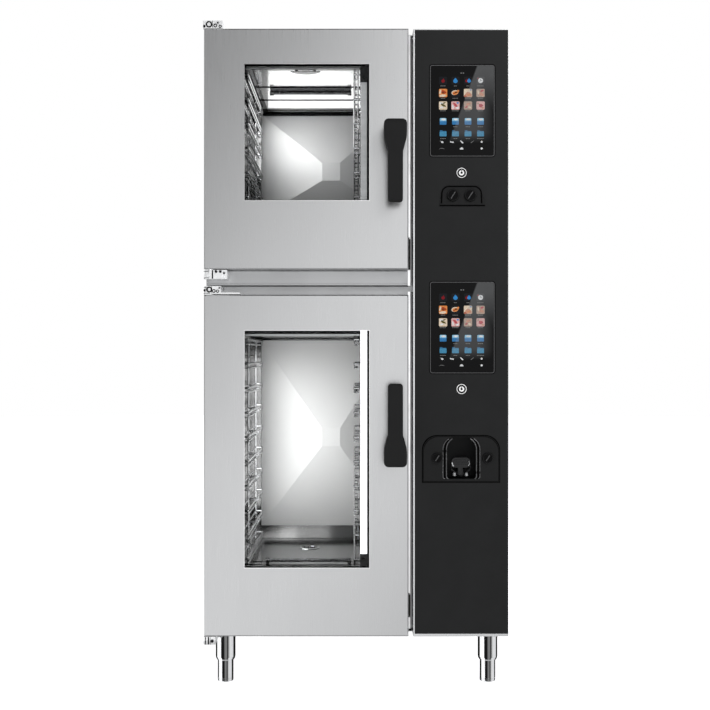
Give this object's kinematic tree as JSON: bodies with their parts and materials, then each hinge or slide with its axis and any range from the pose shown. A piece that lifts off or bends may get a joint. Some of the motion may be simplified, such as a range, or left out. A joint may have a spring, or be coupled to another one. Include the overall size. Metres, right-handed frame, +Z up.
{
  "type": "combi steamer oven",
  "caption": "Stacked combi steamer ovens with glazed side-hinged doors, lever handles, inner racks and a shared black control column with touch screens, on adjustable feet.",
  "frame": {"origin": "centre of the footprint, on the floor under the feet", "axes": "X to the right seen from the front, Y from the doors to the back, Z up; the doors face -Y"},
  "size_m": [0.852, 0.864, 1.865],
  "materials": {
    "casing_steel": "satin stainless sheet, fine vertical grain",
    "door_steel": "satin stainless sheet, fine grain",
    "chamber_steel": "smooth bright stainless liner",
    "polished_steel": "polished stainless",
    "panel_black": "satin charcoal black",
    "screen_black": "glossy black touch glass",
    "lever_black": "matte black, slightly soft",
    "dark_plastic": "satin black moulding",
    "grey_plastic": "dark grey moulding",
    "light_strip": "milky diffuser of the light strip",
    "window_glass": "clear toughened pane",
    "seal_rubber": "dark grey silicone seal",
    "brass": "plain brass",
    "heater_metal": "oxidised heating tube",
    "motor_metal": "dark grey cast housing",
    "chassis_metal": "zinc-coated sheet"
  },
  "bodies": {
    "base": {"lower_casing": "casing_steel", "upper_casing": "casing_steel", "rear_panels": "casing_steel", "lower_front_frame": "door_steel", "upper_front_frame": "door_steel", "lower_chamber": "chamber_steel", "upper_chamber": "chamber_steel", "door_gaskets": "seal_rubber", "support_frames": "casing_steel", "foot_sleeves": "polished_steel", "column_housing": "casing_steel", "column_panel": "panel_black", "touch_screens": "screen_black", "socket_plate": "dark_plastic", "shower_housing": "dark_plastic", "door_hinges": "polished_steel", "fan_motors": "motor_metal", "heater_rings": "heater_metal", "cross_bars": "polished_steel", "water_inlets": "brass", "drain_pipe": "casing_steel", "steam_pipes": "casing_steel", "cable_gland": "dark_plastic", "control_chassis": "chassis_metal", "fasteners": "polished_steel"},
    "upper_door": {"upper_door_shell": "door_steel", "upper_outer_glass": "window_glass", "upper_inner_glass": "window_glass", "upper_led_bar": "light_strip", "upper_led_housing": "dark_plastic"},
    "upper_lever": {"upper_handle": "lever_black", "upper_latch": "polished_steel"},
    "lower_door": {"lower_door_shell": "door_steel", "lower_outer_glass": "window_glass", "lower_inner_glass": "window_glass", "lower_led_bar": "light_strip", "lower_led_housing": "dark_plastic"},
    "lower_lever": {"lower_handle": "lever_black", "lower_latch": "polished_steel"},
    "upper_power_button": {"upper_power_button": "dark_plastic"},
    "lower_power_button": {"lower_power_button": "dark_plastic"},
    "socket_cap_left": {"socket_cap_left": "dark_plastic"},
    "socket_cap_right": {"socket_cap_right": "dark_plastic"},
    "shower_cap_left": {"shower_cap_left": "dark_plastic"},
    "shower_cap_right": {"shower_cap_right": "dark_plastic"},
    "shower_head": {"shower_head": "grey_plastic"},
    "hose_drum": {"hose_drum": "grey_plastic"},
    "upper_fan": {"upper_fan": "chamber_steel"},
    "lower_fan": {"lower_fan": "chamber_steel"},
    "upper_baffle": {"upper_baffle": "chamber_steel"},
    "lower_baffle": {"lower_baffle": "chamber_steel"},
    "upper_rack_left": {"upper_rack_left": "polished_steel"},
    "upper_rack_right": {"upper_rack_right": "polished_steel"},
    "lower_rack_left": {"lower_rack_left": "polished_steel"},
    "lower_rack_right": {"lower_rack_right": "polished_steel"},
    "foot_front_left": {"foot_front_left": "polished_steel"},
    "foot_front_right": {"foot_front_right": "polished_steel"},
    "foot_rear_left": {"foot_rear_left": "polished_steel"},
    "foot_rear_right": {"foot_rear_right": "polished_steel"},
    "air_filter": {"air_filter": "dark_plastic"}
  },
  "joints": [
    {"name": "upper_door_hinge", "type": "hinge", "parent": "base", "child": "upper_door", "pos_m": [-0.412, -0.357, 1.508], "axis": [0, 0, -1], "range_deg": [0, 135]},
    {"name": "lower_door_hinge", "type": "hinge", "parent": "base", "child": "lower_door", "pos_m": [-0.412, -0.357, 0.624], "axis": [0, 0, -1], "range_deg": [0, 135]},
    {"name": "upper_handle_turn", "type": "hinge", "parent": "upper_door", "child": "upper_lever", "pos_m": [0.1074, -0.4, 1.5485], "axis": [0, 1, 0], "range_deg": [-60, 60], "stiffness_Nm_per_rad": 3},
    {"name": "lower_handle_turn", "type": "hinge", "parent": "lower_door", "child": "lower_lever", "pos_m": [0.1074, -0.4, 0.657], "axis": [0, 1, 0], "range_deg": [-60, 60], "stiffness_Nm_per_rad": 3},
    {"name": "upper_button_press", "type": "slide", "parent": "base", "child": "upper_power_button", "axis": [0, 1, 0], "range_m": [0, 0.002], "stiffness_N_per_m": 500},
    {"name": "lower_button_press", "type": "slide", "parent": "base", "child": "lower_power_button", "axis": [0, 1, 0], "range_m": [0, 0.002], "stiffness_N_per_m": 500},
    {"name": "socket_cap_left_turn", "type": "hinge", "parent": "base", "child": "socket_cap_left", "pos_m": [0.27, -0.37, 1.378], "axis": [0, 1, 0], "range_deg": [0, 90]},
    {"name": "socket_cap_right_turn", "type": "hinge", "parent": "base", "child": "socket_cap_right", "pos_m": [0.3186, -0.37, 1.378], "axis": [0, 1, 0], "range_deg": [0, 90]},
    {"name": "shower_cap_left_turn", "type": "hinge", "parent": "base", "child": "shower_cap_left", "pos_m": [0.226, -0.37, 0.6455], "axis": [0, 1, 0], "range_deg": [0, 90]},
    {"name": "shower_cap_right_turn", "type": "hinge", "parent": "base", "child": "shower_cap_right", "pos_m": [0.367, -0.37, 0.6455], "axis": [0, 1, 0], "range_deg": [0, 90]},
    {"name": "shower_pull", "type": "slide", "parent": "base", "child": "shower_head", "axis": [0, -1, 0], "range_m": [0, 0.24], "stiffness_N_per_m": 12},
    {"name": "drum_turn", "type": "hinge", "parent": "base", "child": "hose_drum", "pos_m": [0.2925, -0.03, 0.529], "axis": [1, 0, 0], "range_deg": [0, 200]},
    {"name": "upper_fan_spin", "type": "hinge", "parent": "base", "child": "upper_fan", "pos_m": [-0.083, 0.3, 1.543], "axis": [0, 1, 0], "continuous": true},
    {"name": "lower_fan_spin", "type": "hinge", "parent": "base", "child": "lower_fan", "pos_m": [-0.083, 0.3, 0.66], "axis": [0, 1, 0], "continuous": true},
    {"name": "upper_baffle_lift", "type": "slide", "parent": "base", "child": "upper_baffle", "axis": [0, -1, 0], "range_m": [0, 0.02]},
    {"name": "lower_baffle_lift", "type": "slide", "parent": "base", "child": "lower_baffle", "axis": [0, -1, 0], "range_m": [0, 0.02]},
    {"name": "upper_rack_left_shift", "type": "slide", "parent": "base", "child": "upper_rack_left", "axis": [1, 0, 0], "range_m": [0, 0.035]},
    {"name": "upper_rack_right_shift", "type": "slide", "parent": "base", "child": "upper_rack_right", "axis": [-1, 0, 0], "range_m": [0, 0.005]},
    {"name": "lower_rack_left_shift", "type": "slide", "parent": "base", "child": "lower_rack_left", "axis": [1, 0, 0], "range_m": [0, 0.035]},
    {"name": "lower_rack_right_shift", "type": "slide", "parent": "base", "child": "lower_rack_right", "axis": [-1, 0, 0], "range_m": [0, 0.035]},
    {"name": "foot_front_left_adjust", "type": "slide", "parent": "base", "child": "foot_front_left", "axis": [0, 0, -1], "range_m": [0, 0.025]},
    {"name": "foot_front_right_adjust", "type": "slide", "parent": "base", "child": "foot_front_right", "axis": [0, 0, -1], "range_m": [0, 0.025]},
    {"name": "foot_rear_left_adjust", "type": "slide", "parent": "base", "child": "foot_rear_left", "axis": [0, 0, -1], "range_m": [0, 0.025]},
    {"name": "foot_rear_right_adjust", "type": "slide", "parent": "base", "child": "foot_rear_right", "axis": [0, 0, -1], "range_m": [0, 0.025]},
    {"name": "air_filter_drop", "type": "slide", "parent": "base", "child": "air_filter", "axis": [0, 0, -1], "range_m": [0, 0.04]}
  ],
  "couplings": [
    {"joint": "drum_turn", "follows": "shower_pull", "rad_per_m": 14.085}
  ]
}
